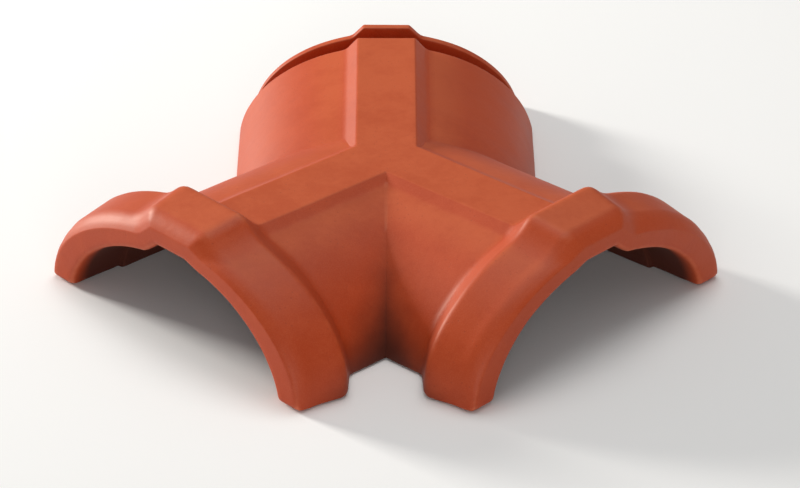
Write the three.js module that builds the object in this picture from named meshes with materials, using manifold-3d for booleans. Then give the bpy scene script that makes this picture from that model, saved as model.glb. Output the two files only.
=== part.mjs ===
// Three-way ridge tile: one hollow piece of fired clay whose three arms meet in level mitres.
// The ridge arm runs along +Y and ends in a recessed spigot with a weather bar. The two hip arms
// run forward to both sides and end in raised collars, each with a socket inside its mouth.
// Millimetres, +Z up. The origin is on the base plane, at the middle of the tile's length and width.
import * as THREE from 'three';
import { mergeVertices } from 'three/addons/utils/BufferGeometryUtils.js';
import Module from 'manifold-3d';

// Plan
const hipAngle = 47.1;               // degrees from the -Y axis to each hip arm's axis

// Shell: an elliptical arch with a flat raised band along its crown
const bandTop = 88;                  // height of the band's flat top above the base
const bandHalfWidth = 24.5;          // half of the flat top
const bandFootHalfWidth = 34.5;      // half of the band where its sloping sides meet the arch
const hipArchHalfWidth = 132.5;      // half axis of the hip arms' ellipse, across the arm
const hipArchRise = 96;              // upright half axis of that ellipse
const ridgeArchHalfWidth = 126.5;    // the same two for the ridge arm, which is a little narrower
const ridgeArchRise = 90.5;
const archDrop = 10;                 // how far the ellipses' centres lie below the base
const wall = 13;                     // wall of the shell

// Ridge arm
const ridgeShellLength = 214.5;       // from the crossing to the end of its full shell
const spigotLength = 50.5;           // reach of the spigot beyond the shell
const spigotRecess = 22.5;           // how far the spigot's body lies inside the shell's face
const spigotWall = 11;               // wall of the spigot
const spigotRamp = 20;               // length over which the hollow narrows towards the spigot
const weatherBarHeight = 11.5;       // height of the bar above the spigot's body
const weatherBarWidth = 8;           // thickness of the bar along the arm

// Hip arms
const hipShellLength = 158.5;        // from the crossing to the foot of the collar's shoulder
const shoulderLength = 23.5;         // reach of the sloping shoulder along the arm
const collarLandLength = 26;         // the broad, slightly tapering land behind the mouth
const mouthBevelLength = 19.5;       // the rounded fall from the land to the mouth's rim
const collarBandRise = 22.5;         // rise of the collar's band above the shell's band
const collarBandSpread = 10.5;       // how much wider, each side, the collar's band is
const collarBandFootSpread = 17.5;   // how much wider, each side, the foot of that band is
const collarSpread = 21.5;           // how much wider, each side, the collar's arch is
const collarLift = 15;               // how much higher the crown of the collar's arch stands
const bevelTurn = 55;                // degrees that the fall turns before it ends at the rim's arris
const landFall = 5;                  // fall of the land from the shoulder to the bevel
const rimRise = 5;                   // how far the mouth's rim stands above the shell at the crown
const rimSpread = 17.5;              // how far it stands outside the shell at the feet
const rimFarDrop = 2;                // how far its far flank's arch stands below the shell's
const rimBandTuck = 2;               // how much narrower, each side, its band is than the shell's
const mouthWall = 14;                // wall at the mouth's rim, at the crown
const mouthFlankWall = 26;           // wall at the mouth's rim, at the feet
const socketDepth = 50;              // depth of the socket inside each collar
const socketOverlap = 3;             // how far the arm's hollow reaches into the socket

// Facets
const archSteps = 15;                // facets from the band's foot to the base, each side
const bevelSteps = 4;                // facets along the rounded bevel
const cutBelow = 8;                  // how far the hollow's cutters reach below the base
const armOverlap = 5;                // how far each arm starts behind the crossing, inside the others
const bandEdgeShift = 0.43;          // sideways shift of a sloping band's edges per millimetre of inset
const weldDistance = 0.0001;         // points closer than this are one

const tileLook = new THREE.MeshStandardMaterial({ color: 0xbf6344, roughness: 0.82, metalness: 0 });

// A cross-section: half widths, the band's height and the arch's ellipse. A collar's far flank, the
// one away from the other hip arm, may have an ellipse of its own height.
function section(bandHalf, bandHeight, footHalf, halfWidth, rise, centre, farRise = rise) {
  return { bandHalf, bandHeight, footHalf, halfWidth, rise, centre, farRise };
}

const hipSection = section(
  bandHalfWidth, bandTop, bandFootHalfWidth, hipArchHalfWidth, hipArchRise, -archDrop);
const ridgeSection = section(
  bandHalfWidth, bandTop, bandFootHalfWidth, ridgeArchHalfWidth, ridgeArchRise, -archDrop);

// The same section moved inwards (or outwards, with a negative depth) by an even amount
function inset(of, depth) {
  const corner = bandEdgeShift * depth;
  return section(of.bandHalf - corner, of.bandHeight - depth, of.footHalf - corner,
    of.halfWidth - depth, of.rise - depth, of.centre, of.farRise - depth);
}

function blend(a, b, share) {
  const mix = (key) => a[key] + (b[key] - a[key]) * share;
  return section(mix('bandHalf'), mix('bandHeight'), mix('footHalf'), mix('halfWidth'), mix('rise'),
    mix('centre'), mix('farRise'));
}

// Points of one side of a section, from its foot up to the band's edge
function flank(of, rise, floor) {
  const side = [];
  const footAngle = Math.acos(of.footHalf / of.halfWidth);
  const baseAngle = of.centre < 0 ? Math.asin(-of.centre / rise) : 0;
  side.push([of.halfWidth * Math.cos(baseAngle), floor]);
  for (let i = 0; i <= archSteps; i += 1) {
    const angle = baseAngle + (footAngle - baseAngle) * (i / archSteps);
    side.push([of.halfWidth * Math.cos(angle), of.centre + rise * Math.sin(angle)]);
  }
  side.push([of.bandHalf, of.bandHeight]);
  return side;
}

// Points of a section from the right foot over the crown to the left foot; the far flank is the
// right one of an arm that heads to the left
function outline(of, floor, heading) {
  const farRight = heading > 0;
  const right = flank(of, farRight ? of.farRise : of.rise, floor);
  const left = flank(of, farRight ? of.rise : of.farRise, floor);
  return [...right, ...left.map(([across, up]) => [-across, up]).reverse()];
}

const wasm = await Module();
wasm.setup();

function toSolid(geometry) {
  geometry.deleteAttribute('normal');
  geometry.deleteAttribute('uv');
  const merged = mergeVertices(geometry, weldDistance);
  return new wasm.Manifold(new wasm.Mesh({
    numProp: 3,
    vertProperties: new Float32Array(merged.attributes.position.array),
    triVerts: new Uint32Array(merged.index.array),
  }));
}

// A closed body drawn through sections that stand across an arm, each at its own distance along it
function loft(stations, floor, heading) {
  const rings = stations.map(({ at, of }) => outline(of, floor, heading).map(([across, up]) => (
    new THREE.Vector3(across, at, up).applyAxisAngle(new THREE.Vector3(0, 0, 1), heading))));
  const count = rings[0].length;
  const positions = rings.flat().flatMap((point) => point.toArray());
  const faces = [];
  for (let ring = 0; ring + 1 < rings.length; ring += 1) {
    for (let i = 0; i < count; i += 1) {
      const next = (i + 1) % count;
      const near = ring * count;
      const far = near + count;
      faces.push(near + i, far + i, far + next, near + i, far + next, near + next);
    }
  }
  const flatten = ({ of }) => outline(of, floor, heading).map(([across, up]) => (
    new THREE.Vector2(across, up)));
  const flat = flatten(stations[0]);
  const endFlat = flatten(stations.at(-1));
  const last = (rings.length - 1) * count;
  THREE.ShapeUtils.triangulateShape(flat, []).forEach(([a, b, c]) => faces.push(a, b, c));
  THREE.ShapeUtils.triangulateShape(endFlat, []).forEach(([a, b, c]) => (
    faces.push(last + c, last + b, last + a)));
  const geometry = new THREE.BufferGeometry();
  geometry.setAttribute('position', new THREE.Float32BufferAttribute(positions, 3));
  geometry.setIndex(faces);
  return toSolid(geometry);
}

// Ridge arm, outside: the full shell, the spigot's body and the weather bar at its end
const ridgeEnd = ridgeShellLength + spigotLength;
const spigotSection = inset(ridgeSection, spigotRecess);
const spigotRoot = ridgeShellLength / 2;
const barSection = inset(ridgeSection, spigotRecess - weatherBarHeight);

function ridgeOutside() {
  const shell = loft([
    { at: -armOverlap, of: ridgeSection },
    { at: ridgeShellLength, of: ridgeSection },
  ], 0, 0);
  const spigot = loft([
    { at: spigotRoot, of: spigotSection },
    { at: ridgeEnd, of: spigotSection },
  ], 0, 0);
  const bar = loft([
    { at: ridgeEnd - weatherBarWidth, of: barSection },
    { at: ridgeEnd, of: barSection },
  ], 0, 0);
  return shell.add(spigot).add(bar);
}

function ridgeHollow() {
  const hollowSection = inset(ridgeSection, wall);
  const narrowed = inset(spigotSection, spigotWall);
  return loft([
    { at: -armOverlap, of: hollowSection },
    { at: ridgeShellLength - wall - spigotRamp, of: hollowSection },
    { at: ridgeShellLength - wall, of: narrowed },
    { at: ridgeEnd + wall, of: narrowed },
  ], -cutBelow, 0);
}

// Hip arms, outside: the shell, then the shoulder, the land and the rounded bevel of the collar
const shoulderTop = hipShellLength + shoulderLength;
const landEnd = shoulderTop + collarLandLength;
const hipEnd = landEnd + mouthBevelLength;
const collarSection = section(
  bandHalfWidth + collarBandSpread, bandTop + collarBandRise,
  bandFootHalfWidth + collarBandFootSpread, hipArchHalfWidth + collarSpread,
  hipArchRise - 2 * archDrop + collarLift, archDrop);
const rimSection = section(
  bandHalfWidth - rimBandTuck, bandTop + rimRise, bandFootHalfWidth + rimRise - rimBandTuck,
  hipArchHalfWidth + rimSpread, hipArchRise + rimRise, -archDrop, hipArchRise - rimFarDrop);

function hipOutside(heading) {
  const landEndSection = inset(collarSection, landFall);
  const stations = [
    { at: -armOverlap, of: hipSection },
    { at: hipShellLength, of: hipSection },
    { at: shoulderTop, of: collarSection },
  ];
  for (let i = 0; i <= bevelSteps; i += 1) {
    const fullTurn = THREE.MathUtils.degToRad(bevelTurn);
    const turn = (i / bevelSteps) * fullTurn;
    const fallen = (1 - Math.cos(turn)) / (1 - Math.cos(fullTurn));
    stations.push({
      at: landEnd + mouthBevelLength * Math.sin(turn) / Math.sin(fullTurn),
      of: blend(landEndSection, rimSection, fallen),
    });
  }
  return loft(stations, 0, heading);
}

function hipHollow(heading) {
  const socket = section(
    rimSection.bandHalf - bandEdgeShift * mouthWall, rimSection.bandHeight - mouthWall,
    rimSection.footHalf - bandEdgeShift * mouthWall, rimSection.halfWidth - mouthFlankWall,
    rimSection.rise - mouthWall, -archDrop, rimSection.farRise - mouthWall);
  const hollowSection = inset(hipSection, wall);
  const passage = loft([
    { at: -armOverlap, of: hollowSection },
    { at: hipEnd - socketDepth + socketOverlap, of: hollowSection },
  ], -cutBelow, heading);
  const mouth = loft([
    { at: hipEnd - socketDepth, of: socket },
    { at: hipEnd + wall, of: socket },
  ], -cutBelow, heading);
  return passage.add(mouth);
}

function tile() {
  const turn = THREE.MathUtils.degToRad(180 - hipAngle);
  const outside = ridgeOutside().add(hipOutside(turn)).add(hipOutside(-turn));
  const hollow = ridgeHollow().add(hipHollow(turn)).add(hipHollow(-turn));
  const mesh = outside.subtract(hollow).getMesh();
  const geometry = new THREE.BufferGeometry();
  geometry.setAttribute('position', new THREE.BufferAttribute(mesh.vertProperties, 3));
  geometry.setIndex(new THREE.BufferAttribute(mesh.triVerts, 1));
  geometry.computeBoundingBox();
  const middle = geometry.boundingBox.getCenter(new THREE.Vector3());
  geometry.translate(0, -middle.y, 0);
  geometry.computeVertexNormals();
  const piece = new THREE.Mesh(geometry, tileLook);
  piece.name = 'ridge_tile';
  return piece;
}

const model = new THREE.Group();
model.name = 'three_way_ridge_tile';
model.add(tile());

export default model;
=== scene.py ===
# Three-way ridge tile in matt fired clay: one hollow piece whose three arms meet in crisp mitres.
# Each arm is one sheet of clay, drawn as rows of points across it: out along its outside, over its end and
# back through the hollow. Sizes are in millimetres until the mesh is made. The ridge arm points to +Y.
import math

import bmesh
import bpy
import numpy as np
from mathutils import Matrix, Vector


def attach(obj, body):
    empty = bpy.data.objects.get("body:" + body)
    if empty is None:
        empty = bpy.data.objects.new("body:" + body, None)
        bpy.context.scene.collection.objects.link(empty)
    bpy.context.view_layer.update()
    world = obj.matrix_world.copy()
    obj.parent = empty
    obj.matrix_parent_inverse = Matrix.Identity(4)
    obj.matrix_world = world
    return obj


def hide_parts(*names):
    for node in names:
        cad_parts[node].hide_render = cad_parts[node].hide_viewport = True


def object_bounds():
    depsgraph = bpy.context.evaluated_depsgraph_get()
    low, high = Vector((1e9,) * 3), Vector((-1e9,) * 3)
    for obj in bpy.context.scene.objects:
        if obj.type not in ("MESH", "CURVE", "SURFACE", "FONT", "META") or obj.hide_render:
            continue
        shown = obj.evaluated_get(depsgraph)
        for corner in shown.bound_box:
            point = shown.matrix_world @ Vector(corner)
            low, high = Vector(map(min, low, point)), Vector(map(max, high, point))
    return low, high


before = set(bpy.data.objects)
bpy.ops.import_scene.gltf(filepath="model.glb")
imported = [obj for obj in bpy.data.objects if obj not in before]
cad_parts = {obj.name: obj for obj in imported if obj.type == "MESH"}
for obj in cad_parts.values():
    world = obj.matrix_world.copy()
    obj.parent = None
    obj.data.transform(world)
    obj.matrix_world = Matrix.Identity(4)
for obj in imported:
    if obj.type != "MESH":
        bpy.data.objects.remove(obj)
cad_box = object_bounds()

MM = 0.001   # a millimetre in metres

# The arms and the band along each crown
HIP_ANGLE = math.radians(47.1)   # between a hip arm and -Y
BAND_TOP, BAND_HALF, BAND_FOOT_HALF = 88.0, 24.5, 34.5
HIP_ARCH_HALF, HIP_ARCH_RISE = 132.5, 96.0
RIDGE_ARCH_HALF, RIDGE_ARCH_RISE = 126.5, 90.5
ARCH_DROP = 10.0                 # how far below the ground the shells' arches have their centres
WALL = 13.0
BAND_EDGE_SHIFT = 0.43           # how far the band's edges move in for each millimetre of inset

# The ridge arm's end: a recessed spigot with a raised weather bar
RIDGE_SHELL, SPIGOT = 214.5, 50.5
SPIGOT_RECESS, SPIGOT_WALL, SPIGOT_RAMP = 22.5, 11.0, 20.0
BAR_HEIGHT, BAR_WIDTH = 11.5, 8.0

# A hip arm's end: a collar with a sloping shoulder, a falling land and a rounded bevel down to the rim
HIP_SHELL, SHOULDER, LAND, BEVEL = 158.5, 23.5, 26.0, 19.5
BEVEL_TURN = math.radians(55)
MOUTH_WALL, MOUTH_FLANK_WALL, SOCKET = 14.0, 26.0, 50.0

# How much larger than the shell the collar and its rim are
COLLAR_BAND_RISE, COLLAR_BAND_SPREAD, COLLAR_FOOT_SPREAD = 22.5, 10.5, 17.5
COLLAR_SPREAD, COLLAR_LIFT, LAND_FALL = 21.5, 15.0, 5.0
RIM_RISE, RIM_SPREAD, RIM_BAND_TUCK = 5.0, 17.5, 2.0
RIM_FAR_DROP = 2.0               # how far the rim's far flank lies below the shell's arch

# Distances from the crossing of the three arms
RIDGE_END = RIDGE_SHELL + SPIGOT
SHOULDER_TOP = HIP_SHELL + SHOULDER
LAND_END = SHOULDER_TOP + LAND
HIP_END = LAND_END + BEVEL
CROSSING_Y = cad_box[1][1] / MM - RIDGE_END

# How soft the hand-finished clay is at its edges
FOOT_ROUND = 2.8                       # setback of the rounding along the lower edges
BAND_EDGES = (3.5, 1.4)                # setbacks of the fillet at the band's foot and of its arris
COLLAR_EDGES = (13.0, 6.0)             # the same on the softer collars
FOOT_CORNER = 5.5                      # radius of the collars' rounded lower corners
FOOT_TAPER, TAPER_HEIGHT = 3.5, 40.0   # how far and up to what height the mouths' feet draw in
RIM_ROUND, RIM_FOOT_ROUND = 1.3, 8.0   # setbacks of the mouth's outer edge, high up and at the feet
RIM_ROUND_HEIGHT = 45.0                # height from which that edge is as sharp as at the crown
MOST_SETBACK = 0.48                    # the most that a rounding takes of the way to the next row
WAVES = ((150.0, 0.40, 5), (52.0, 0.32, 7), (19.0, 0.16, 9))   # uneven clay: lengths, shares, counts
LEAST_UNEVEN, UNEVEN = 0.05, 0.45      # how far it lies inside its true shape, and how much that varies

# How finely the mesh is drawn
SPACING = 4.0                          # longest step between rows
ROUND_STEPS = 4                        # steps in a rounded corner
BEVEL_STATIONS = (0.3, 0.55, 0.78)     # shares of the bevel's turn between its ends
WELD = 0.02                            # points closer than this are one
SHARP_EDGE = math.radians(32)

# Colours of the clay, as linear light
DEEP_CLAY = (0.400, 0.042, 0.004, 1)
PALE_CLAY = (0.440, 0.053, 0.008, 1)
# painted light: lighter, more orange colours for upward faces, as if lit from above
LIT_TOP_DEEP = (0.45, 0.066, 0.014, 1)
LIT_TOP_PALE = (0.50, 0.086, 0.023, 1)
# dust in the grain, and the pale arrises, which are wear and partly a painted highlight
DUST_AND_HIGHLIGHT = (0.66, 0.200, 0.100, 1)
# grog specks, and also the painted shade in the creases
GROG_AND_SHADE = (0.19, 0.022, 0.008, 1)
# painted shade: the dark put low in the valley between the hip arms and inside the hollow
PAINTED_SHADE_DARK = (0.022, 0.006, 0.004, 1)
HOLLOW_SHADE_REACH = 22.0                     # how far inside a mouth the painted shade is at its darkest

# A place on a section is counted from its foot (0) over the arch to the crown (6)
ARCH_FROM, TOP_FROM, CROWN = 1, 5, 6
STRETCH_STEPS = (4, 43, 5, 4, 4, 8)    # foot, arch, band's foot, band's side, arris, band's top
ARCH_CLOSENESS = 1.15                  # above 1, the arch's steps are closer low down


def section(band_half, band_top, foot_half, half, rise, centre):
    """The band's half-width, top and half-width at its foot; the arch's half-width, rise and centre."""
    return np.array([band_half, band_top, foot_half, half, rise, centre], float)


def inset(of, depth):
    """The section moved inwards by an even depth."""
    corner = BAND_EDGE_SHIFT * depth
    return of - section(corner, depth, corner, depth, depth, 0)


HIP = section(BAND_HALF, BAND_TOP, BAND_FOOT_HALF, HIP_ARCH_HALF, HIP_ARCH_RISE, -ARCH_DROP)
RIDGE = section(BAND_HALF, BAND_TOP, BAND_FOOT_HALF, RIDGE_ARCH_HALF, RIDGE_ARCH_RISE, -ARCH_DROP)
COLLAR = section(BAND_HALF + COLLAR_BAND_SPREAD, BAND_TOP + COLLAR_BAND_RISE,
                 BAND_FOOT_HALF + COLLAR_FOOT_SPREAD, HIP_ARCH_HALF + COLLAR_SPREAD,
                 HIP_ARCH_RISE - 2 * ARCH_DROP + COLLAR_LIFT, ARCH_DROP)
RIM = section(BAND_HALF - RIM_BAND_TUCK, BAND_TOP + RIM_RISE, BAND_FOOT_HALF + RIM_RISE - RIM_BAND_TUCK,
              HIP_ARCH_HALF + RIM_SPREAD, HIP_ARCH_RISE + RIM_RISE, -ARCH_DROP)
MOUTH = RIM - section(BAND_EDGE_SHIFT * MOUTH_WALL, MOUTH_WALL, BAND_EDGE_SHIFT * MOUTH_WALL,
                      MOUTH_FLANK_WALL, MOUTH_WALL, 0)
LOWER_FAR_SIDE = section(0, 0, 0, 0, RIM_RISE + RIM_FAR_DROP, 0)


def even_places():
    """Places from foot to crown, closer together on the rounded edges."""
    shares = [np.linspace(0, 1, steps + 1)[:-1] for steps in STRETCH_STEPS]
    shares[ARCH_FROM] **= ARCH_CLOSENESS
    return np.concatenate([stretch + share for stretch, share in enumerate(shares)] + [[CROWN]])


HIP_PLACES = even_places()


def bow(start, corner, end, share):
    """A point on the quadratic curve that rounds a corner."""
    return (1 - share) ** 2 * start + 2 * share * (1 - share) * corner + share ** 2 * end


def toward(start, end, reach):
    """The point at this reach from the start."""
    return start + (end - start) * reach / np.linalg.norm(end - start)


def arch_half(of, height):
    """Half-width of a section's arch at a height."""
    half, rise, centre = of[3:]
    return half * math.sqrt(max(1 - (max(height - centre, 0) / rise) ** 2, 0))


def arch_height(of, across):
    """Height of a section's arch at a half-width."""
    half, rise, centre = of[3:]
    return centre + rise * math.sqrt(1 - (across / half) ** 2)


def along_arch(of, low, high, share):
    """Points evenly turned along the arch; below the ellipse's centre the flank is upright."""
    half, rise, centre = of[3:]
    start = (low - centre) / rise if low < centre else math.asin((low - centre) / rise)
    end = math.asin(min((high - centre) / rise, 1))
    turn = start + (end - start) * share
    across = half * np.cos(np.maximum(turn, 0))
    return np.hstack([across, centre + rise * np.where(turn < 0, turn, np.sin(turn))])


def trace(of, places, outside, edges=BAND_EDGES):
    """Half-widths and heights at those places of a section; edges are the band's two setbacks."""
    band_half, band_top, foot_half = of[:3]
    foot_setback, arris_setback = edges
    foot = np.array([arch_half(of, 0), 0.0])
    under = foot + (-FOOT_ROUND if outside else FOOT_ROUND, 0)
    arch_low = np.array([arch_half(of, FOOT_ROUND), FOOT_ROUND])
    beside_band = foot_half + foot_setback
    arch_high = np.array([beside_band, arch_height(of, beside_band)])
    band_foot = np.array([foot_half, arch_height(of, foot_half)])
    arris, crown = np.array([band_half, band_top]), np.array([0.0, band_top])
    side_low, side_high = toward(band_foot, arris, foot_setback), toward(arris, band_foot, arris_setback)
    top_edge = toward(arris, crown, arris_setback)
    stretches = (lambda share: bow(under, foot, arch_low, share),
                 lambda share: along_arch(of, arch_low[1], arch_high[1], share),
                 lambda share: bow(arch_high, band_foot, side_low, share),
                 lambda share: side_low + (side_high - side_low) * share,
                 lambda share: bow(side_high, arris, top_edge, share),
                 lambda share: top_edge + (crown - top_edge) * share)
    whole = np.clip(np.floor(places), 0, CROWN - 1).astype(int)
    points = np.empty((len(places), 2))
    for number, stretch in enumerate(stretches):
        chosen = whole == number
        points[chosen] = stretch((places - whole)[chosen][:, None])
    return points


def matching_places(of, other, outside):
    """Places on one section at the heights that the hip arm's places have on the other."""
    heights = trace(other, HIP_PLACES, outside)[:, 1]
    fine = np.linspace(ARCH_FROM, TOP_FROM, 4000)
    matched = np.interp(heights, trace(of, fine, outside)[:, 1], fine)
    on_sides = (HIP_PLACES > ARCH_FROM) & (HIP_PLACES < TOP_FROM)
    return np.where(on_sides, matched, HIP_PLACES)


def both_sides(right, left, distance):
    """A row across the arm: half-widths, those of the left mirrored, heights and distances along it."""
    distance = np.broadcast_to(distance, len(right))
    right = np.column_stack([right, distance])
    left = np.column_stack([left, distance])[-2::-1] * (-1, 1, 1)
    return np.concatenate([right, left])


def mitre(own, other, angle):
    """Distance along an arm at which its side meets that of the arm at this angle."""
    return (other + own * math.cos(angle)) / math.sin(angle)


def round_rows(rows, setbacks):
    """Each corner row is replaced by rows that round it by its setback."""
    done = [rows[0]]
    for before, corner, after, setback in zip(rows, rows[1:], rows[2:], setbacks):
        if np.max(setback) == 0:
            done.append(corner)
            continue
        ends = []
        for neighbour in (before, after):
            step = neighbour - corner
            length = np.maximum(np.linalg.norm(step, axis=1, keepdims=True), 1e-6)
            ends.append(corner + step * np.minimum(setback / length, MOST_SETBACK))
        done += [bow(ends[0], corner, ends[1], share) for share in np.linspace(0, 1, ROUND_STEPS + 1)]
    done.append(rows[-1])
    return done


def fill_rows(rows):
    """Rows added so that no step between them is longer than the spacing."""
    done = [rows[0]]
    for before, after in zip(rows, rows[1:]):
        reach = np.linalg.norm(after - before, axis=1).max()
        steps = max(math.ceil(reach / SPACING), 1)
        done += [before + (after - before) * step / steps for step in range(1, steps + 1)]
    return np.array(done)


def sheet(corners):
    """All rows of an arm, from its corner rows and the setback of each one's rounding."""
    rows, setbacks = zip(*corners)
    return fill_rows(round_rows(rows, setbacks[1:-1]))


def corner_setback(height):
    """How far the collar's ends draw in near the ground, as a quarter circle."""
    below = np.clip(FOOT_CORNER - height, 0, FOOT_CORNER)
    return FOOT_CORNER - np.sqrt(FOOT_CORNER ** 2 - below ** 2)


def hip_rows():
    """Rows of the right hip arm; its right-hand side is the one towards the other hip."""
    def row(of, distance, outside=True, draw_in=0.0, edges=BAND_EDGES, far=None, foot_taper=0.0):
        """The far side may have a section of its own; draw_in is the share of the corners' setback."""
        near_side = trace(of, HIP_PLACES, outside, edges)
        far_side = near_side.copy() if far is None else trace(far, HIP_PLACES, outside, edges)
        for side in (near_side, far_side):
            side[:, 0] -= foot_taper * np.clip(1 - side[:, 1] / TAPER_HEIGHT, 0, 1) ** 2
        return both_sides(near_side, far_side, distance + draw_in * corner_setback(near_side[:, 1]))

    def first_row(of, ridge, outside):
        """Where the arm meets the other hip arm on its right and the ridge arm on its left."""
        own = trace(of, HIP_PLACES, outside)
        other = trace(ridge, matching_places(ridge, of, outside), outside)
        near = mitre(own[:, 0], own[:, 0], 2 * HIP_ANGLE)
        far = mitre(own[:, 0], other[:, 0], math.pi - HIP_ANGLE)
        line = both_sides(own, own, near)
        line[len(own):, 2] = far[-2::-1]
        return line

    def bevel(share):
        """The row at this share of the bevel's turn, from the land to the rim."""
        turn = share * BEVEL_TURN
        fallen = (1 - math.cos(turn)) / (1 - math.cos(BEVEL_TURN))
        along = math.sin(turn) / math.sin(BEVEL_TURN)
        of = inset(COLLAR, LAND_FALL) * (1 - fallen) + RIM * fallen
        edges = np.array(COLLAR_EDGES) * (1 - fallen) + np.array(BAND_EDGES) * fallen
        return row(of, LAND_END + BEVEL * along, draw_in=-along ** 2, edges=edges,
                   far=of - LOWER_FAR_SIDE * fallen, foot_taper=FOOT_TAPER * fallen)

    hollow = inset(HIP, WALL)
    mouth_far = MOUTH - LOWER_FAR_SIDE
    up = np.clip(bevel(1)[:, 1:2] / RIM_ROUND_HEIGHT, 0, 1)
    return sheet([
        (first_row(HIP, RIDGE, outside=True), 0),
        (row(HIP, HIP_SHELL, draw_in=0.6), 5.0),
        (row(COLLAR, SHOULDER_TOP, draw_in=0.9, edges=COLLAR_EDGES), 4.5),
        (bevel(0), 5.0),
        *((bevel(share), 0) for share in BEVEL_STATIONS),
        (bevel(1), RIM_FOOT_ROUND + (RIM_ROUND - RIM_FOOT_ROUND) * up ** 0.5),
        (row(MOUTH, HIP_END, outside=False, draw_in=-1, far=mouth_far), 5.0),
        (row(MOUTH, HIP_END - SOCKET, outside=False, far=mouth_far), 2.0),
        (row(hollow, HIP_END - SOCKET, outside=False), 2.0),
        (first_row(hollow, inset(RIDGE, WALL), outside=False), 0)])


def ridge_rows():
    """Rows of the ridge arm, with its points at the heights of the hip arms'."""
    hollow, hip_hollow = inset(RIDGE, WALL), inset(HIP, WALL)
    spigot = inset(RIDGE, SPIGOT_RECESS)
    bar = inset(RIDGE, SPIGOT_RECESS - BAR_HEIGHT)
    narrowed = inset(spigot, SPIGOT_WALL)
    outer_places = matching_places(RIDGE, HIP, True)
    inner_places = matching_places(hollow, hip_hollow, False)

    def half_row(of, outside):
        """One side of a row."""
        return trace(of, outer_places if outside else inner_places, outside)

    def row(of, distance, outside=True):
        own = half_row(of, outside)
        return both_sides(own, own, distance)

    def first_row(of, hip, outside):
        own, other = half_row(of, outside), trace(hip, HIP_PLACES, outside)
        return both_sides(own, own, mitre(own[:, 0], other[:, 0], math.pi - HIP_ANGLE))

    return sheet([
        (first_row(RIDGE, HIP, outside=True), 0),
        (row(RIDGE, RIDGE_SHELL), 1.6),
        (row(spigot, RIDGE_SHELL), 2.0),
        (row(spigot, RIDGE_END - BAR_WIDTH), 1.6),
        (row(bar, RIDGE_END - BAR_WIDTH), 1.6),
        (row(bar, RIDGE_END), 2.0),
        (row(narrowed, RIDGE_END, outside=False), 2.0),
        (row(narrowed, RIDGE_SHELL - WALL, outside=False), 6.0),
        (row(hollow, RIDGE_SHELL - WALL - SPIGOT_RAMP, outside=False), 6.0),
        (first_row(hollow, hip_hollow, outside=False), 0)])


def underside(distances):
    """Triangles between the outer and the inner lower edge, for rows at those distances."""
    low, high, faces = 0, len(distances) - 1, []
    while high - low > 1:
        if distances[low + 1] <= distances[high - 1]:
            faces.append((low, low + 1, high))
            low += 1
        else:
            faces.append((low, high - 1, high))
            high -= 1
    return faces


def add_arm(clay, rows, heading):
    """The arm's sheet and its underside, turned to its heading; headings are counted from +Y to +X."""
    count, width = rows.shape[:2]
    crown_line = rows[:, width // 2, 2]
    end_row = int(np.argmax(crown_line))
    # painted shade inside the hollow: how deep each row lies inside its mouth, kept on its points
    depth_inside = np.where(np.arange(count) > end_row, crown_line[end_row] - crown_line, 0)
    hollow_shade = np.minimum(depth_inside / HOLLOW_SHADE_REACH, 1)
    hollow_shade_depth = clay.verts.layers.float.get("hollow_shade_depth") or clay.verts.layers.float.new("hollow_shade_depth")
    across, up, along = rows.reshape(-1, 3).T
    x = along * math.sin(heading) + across * math.cos(heading)
    y = along * math.cos(heading) - across * math.sin(heading) + CROSSING_Y
    corners = [clay.verts.new(place) for place in np.column_stack([x, y, up])]
    for index, corner in enumerate(corners):
        corner[hollow_shade_depth] = hollow_shade[index // width]
    for start in range(0, (count - 1) * width, width):
        for a in range(start, start + width - 1):
            clay.faces.new([corners[k] for k in (a, a + 1, a + width + 1, a + width)])
    for edge, order in ((0, 1), (width - 1, -1)):
        for face in underside(rows[:, edge, 2]):
            clay.faces.new([corners[k * width + edge] for k in face[::order]])


def unevenness(places):
    """How far the pressed clay lies inside its true shape, between 0 and 1."""
    chance = np.random.default_rng(11)
    depth = np.zeros(len(places))
    for wavelength, share, count in WAVES:
        for _ in range(count):
            heading = chance.normal(size=3)
            heading *= 2 * math.pi / wavelength / np.linalg.norm(heading)
            depth += share / math.sqrt(count) * np.sin(places @ heading + chance.uniform(0, 2 * math.pi))
    return np.clip(0.5 + 0.5 * depth, 0, 1)


def model_tile():
    """The whole tile as one closed mesh."""
    clay = bmesh.new()
    hip = hip_rows()
    add_arm(clay, ridge_rows(), 0.0)
    add_arm(clay, hip, math.pi - HIP_ANGLE)
    mirrored = hip[:, ::-1] * (-1, 1, 1)
    add_arm(clay, mirrored, math.pi + HIP_ANGLE)
    bmesh.ops.remove_doubles(clay, verts=clay.verts, dist=WELD)
    bmesh.ops.recalc_face_normals(clay, faces=clay.faces)
    clay.normal_update()
    places = np.array([corner.co for corner in clay.verts])
    normals = np.array([corner.normal for corner in clay.verts])
    places -= normals * (UNEVEN * unevenness(places) + LEAST_UNEVEN)[:, None]
    places[:, 2] = np.maximum(places[:, 2], 0)
    for corner, place in zip(clay.verts, places * MM):
        corner.co = place
    mesh = bpy.data.meshes.new("ridge_tile_clay")
    clay.to_mesh(mesh)
    clay.free()
    mesh.shade_smooth()
    mesh.set_sharp_from_angle(angle=SHARP_EDGE)
    tile = bpy.data.objects.new("ridge_tile_clay", mesh)
    bpy.context.scene.collection.objects.link(tile)
    return tile


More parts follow.
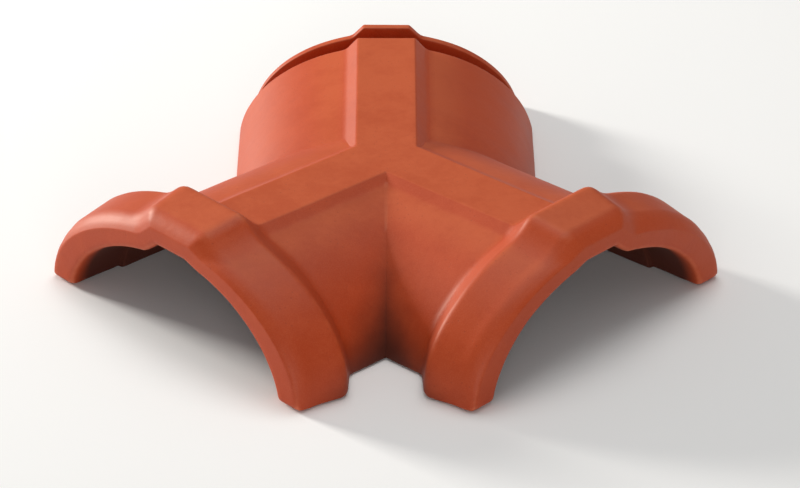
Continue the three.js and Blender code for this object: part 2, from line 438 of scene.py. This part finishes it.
class Socket:
    """A node's output; sums, differences and products with it add Math nodes."""

    def __init__(self, nodes, output):
        self.nodes, self.output = nodes, output

    def maths(self, operation, *values):
        return self.nodes.add("ShaderNodeMath", {"operation": operation}, dict(enumerate(values)))

    def __abs__(self):
        return self.maths("ABSOLUTE", self)

    def __add__(self, other):
        return self.maths("ADD", self, other)

    def __mul__(self, other):
        return self.maths("MULTIPLY", self, other)

    def __sub__(self, other):
        return self.maths("SUBTRACT", self, other)

    def __rsub__(self, other):
        return self.maths("SUBTRACT", other, self)

    __radd__, __rmul__ = __add__, __mul__


class Nodes:
    """The nodes of one material."""

    def __init__(self, tree):
        self.tree = tree

    def add(self, kind, settings, values, output=0):
        """A node with its settings and the values or links of its sockets; gives one of its outputs."""
        node = self.tree.nodes.new(kind)
        for name, setting in settings.items():
            setattr(node, name, setting)
        for name, value in values.items():
            self.feed(node.inputs[name], value)
        return Socket(self, node.outputs[output])

    def feed(self, into, value):
        if isinstance(value, Socket):
            self.tree.links.new(value.output, into)
        else:
            into.default_value = value

    def noise(self, place, scale, detail):
        return self.add("ShaderNodeTexNoise", {}, {"Vector": place, "Scale": scale, "Detail": detail})

    def axis(self, vector, name):
        return self.add("ShaderNodeSeparateXYZ", {}, {"Vector": vector}, name)

    def ease(self, value, low, high):
        """0 below the low value, 1 above the high one and soft between them."""
        return self.add("ShaderNodeMapRange", {"interpolation_type": "SMOOTHSTEP"},
                        {"Value": value, "From Min": low, "From Max": high})

    def blend(self, share, first, second):
        """A mix of two colours, whose sockets are numbers 6 and 7 of a Mix node's inputs."""
        return self.add("ShaderNodeMix", {"data_type": "RGBA"}, {0: share, 6: first, 7: second}, 2)


def fired_clay():
    """Matt red clay: cloudy from the kiln, grainy, pale on worn arrises partly as a painted highlight, with
    painted shade in the creases, the valley and the hollow, and painted light on the upward faces.
    """
    clay = bpy.data.materials.new("fired_clay")
    clay.use_nodes = True
    shader = clay.node_tree.nodes["Principled BSDF"]
    nodes = Nodes(clay.node_tree)
    place = nodes.add("ShaderNodeTexCoord", {}, {}, "Object")
    firing = nodes.noise(place, 6, 3)
    clouds = nodes.noise(place, 38, 5)
    mottling = nodes.noise(place, 190, 3)
    grain = nodes.noise(place, 1100, 2)
    grog = nodes.add("ShaderNodeTexVoronoi", {}, {"Vector": place, "Scale": 210}, "Distance")
    grog_here = (1 - nodes.ease(grog, 0.10, 0.20)) * nodes.ease(clouds, 0.50, 0.60)
    bloom = nodes.ease(firing * 0.45 + clouds * 0.35 + mottling * 0.2, 0.40, 0.60)

    # Pale arrises, which are wear and partly a painted highlight; painted shade in the creases and inside
    # the hollow
    edge = nodes.add("ShaderNodeNewGeometry", {}, {}, "Pointiness")
    # pale arrises: wear on the edges, and also a painted highlight where light would catch them
    wear_and_highlight = nodes.ease(edge + 0.02 * mottling, 0.522, 0.575)
    # painted shade: concave creases are darkened where shadow gathers
    crease_shade = 1 - nodes.ease(edge, 0.43, 0.485)
    # painted shade inside the hollow, darkest deep inside the mouths
    hollow_shade_depth = nodes.add("ShaderNodeAttribute", {"attribute_name": "hollow_shade_depth"}, {}, "Fac")
    hollow_shade = nodes.ease(hollow_shade_depth + 0.25 * clouds, 0.15, 0.95)

    # Painted shade low in the corner between the two hip arms, and painted light on what faces up
    across, along, height = (nodes.axis(place, name) for name in "XYZ")
    from_valley = abs(across) + height * 0.75 + 0.014 * clouds
    in_front = 1 - nodes.ease(along, -0.02, 0.0)
    # painted shade: darkens the clay low in the valley between the hip arms, where shadow falls
    valley_shade = (1 - nodes.ease(from_valley, 0.014, 0.070)) * in_front
    facing_up = nodes.axis(nodes.add("ShaderNodeNewGeometry", {}, {}, "Normal"), "Z")
    # painted light: upward faces take the lighter top colours
    lit_tops = nodes.ease(facing_up + 0.02 * clouds, 0.91, 1.0)

    own_clay = nodes.blend(bloom, DEEP_CLAY, PALE_CLAY)
    colour = nodes.blend(lit_tops, own_clay, nodes.blend(bloom, LIT_TOP_DEEP, LIT_TOP_PALE))
    # grain dust and grog, pale arrises that are partly painted highlight, and painted shade in the creases,
    # the valley and the hollow
    for share, finish in ((nodes.ease(grain, 0.35, 0.75) * 0.10, DUST_AND_HIGHLIGHT), (grog_here * 0.25, GROG_AND_SHADE),
                          (wear_and_highlight * 0.6, DUST_AND_HIGHLIGHT), (crease_shade * 0.35, GROG_AND_SHADE),
                          (valley_shade * 0.87, PAINTED_SHADE_DARK), (hollow_shade * 0.88, PAINTED_SHADE_DARK)):
        colour = nodes.blend(share, colour, finish)
    nodes.feed(shader.inputs["Base Color"], colour)
    nodes.feed(shader.inputs["Roughness"],
               0.42 + 0.12 * clouds + 0.10 * grain + 0.3 * hollow_shade + 0.2 * valley_shade - 0.04 * wear_and_highlight)
    relief = mottling * 0.35 + grain * 0.10 - grog_here * 0.2
    bump = nodes.add("ShaderNodeBump", {}, {"Height": relief, "Distance": 0.0007, "Strength": 0.5}, "Normal")
    nodes.feed(shader.inputs["Normal"], bump)
    shader.inputs["Specular IOR Level"].default_value = 0.36
    return clay


def aim_camera():
    """The camera of the photograph: far off with a long lens, 27 degrees above the tile's front."""
    crossing = Vector((0, CROSSING_Y * MM, BAND_TOP * MM))
    crossing_x, crossing_y = 386.21, 151.94   # the crossing's pixel in the frame
    width_pixels, height_pixels, focus_pixels = 800, 488, 3974.55
    metres_per_pixel, sensor = 0.0008, 36.0
    height_angle, roll = math.radians(26.92), math.radians(0.11)
    right = Vector((1, 0, 0))
    up = Vector((0, math.sin(height_angle), math.cos(height_angle)))
    forward = Vector((0, math.cos(height_angle), -math.sin(height_angle)))
    camera_right = right * math.cos(roll) + up * math.sin(roll)
    camera_up = up * math.cos(roll) - right * math.sin(roll)
    level = Matrix((camera_right, camera_up, -forward)).transposed()
    in_frame = Vector((crossing_x - width_pixels / 2, height_pixels / 2 - crossing_y, -focus_pixels))
    turn = in_frame.normalized().rotation_difference(Vector((0, 0, -1))).to_matrix()
    lens = bpy.data.cameras.new("camera")
    lens.sensor_width = sensor
    lens.lens = focus_pixels * sensor / width_pixels
    lens.clip_end = 50
    camera = bpy.data.objects.new("camera", lens)
    distance = focus_pixels * metres_per_pixel
    camera.matrix_world = Matrix.Translation(crossing - forward * distance) @ (level @ turn).to_4x4()
    bpy.context.scene.collection.objects.link(camera)
    bpy.context.scene.camera = camera


def area_light(name, place, size, watts, colour):
    """A square light that faces the tile."""
    lamp = bpy.data.lights.new(name, "AREA")
    lamp.shape = "SQUARE"
    lamp.size = size
    lamp.energy = watts
    lamp.color = colour
    light = bpy.data.objects.new(name, lamp)
    light.location = place
    light.rotation_euler = (-Vector(place)).to_track_quat("-Z", "Y").to_euler()
    bpy.context.scene.collection.objects.link(light)


def build_studio():
    """A low light from behind on the left, soft light from above and in front, and a pale floor."""
    world = bpy.data.worlds.new("studio")
    world.use_nodes = True
    surroundings = world.node_tree.nodes["Background"].inputs
    surroundings["Color"].default_value = (1, 0.975, 0.92, 1)
    surroundings["Strength"].default_value = 0.27
    bpy.context.scene.world = world
    bpy.context.scene.view_settings.view_transform = "Standard"
    area_light("low_key", (-3.0, 1.95, 1.15), 0.8, 160, (1, 0.94, 0.83))
    area_light("overhead", (0.1, 0.5, 2.7), 1.8, 34, (1, 0.96, 0.88))
    area_light("front_fill", (0.2, -3.6, 0.9), 1.6, 36, (1, 0.96, 0.88))
    reach = 12.0
    floor_mesh = bpy.data.meshes.new("floor")
    floor_mesh.from_pydata([(-reach, -reach, 0), (reach, -reach, 0), (reach, reach, 0), (-reach, reach, 0)],
                           [], [(0, 1, 2, 3)])
    paint = bpy.data.materials.new("pale_floor")
    paint.use_nodes = True
    finish = paint.node_tree.nodes["Principled BSDF"].inputs
    finish["Base Color"].default_value = (0.885, 0.915, 0.975, 1)
    finish["Roughness"].default_value = 0.9
    floor_mesh.materials.append(paint)
    floor = bpy.data.objects.new("floor", floor_mesh)
    floor.location.z = -0.5 * MM   # just clear of the tile's underside
    bpy.context.scene.collection.objects.link(floor)


tile = model_tile()
tile.data.materials.append(fired_clay())
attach(tile, "root")
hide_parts("ridge_tile")
build_studio()
aim_camera()
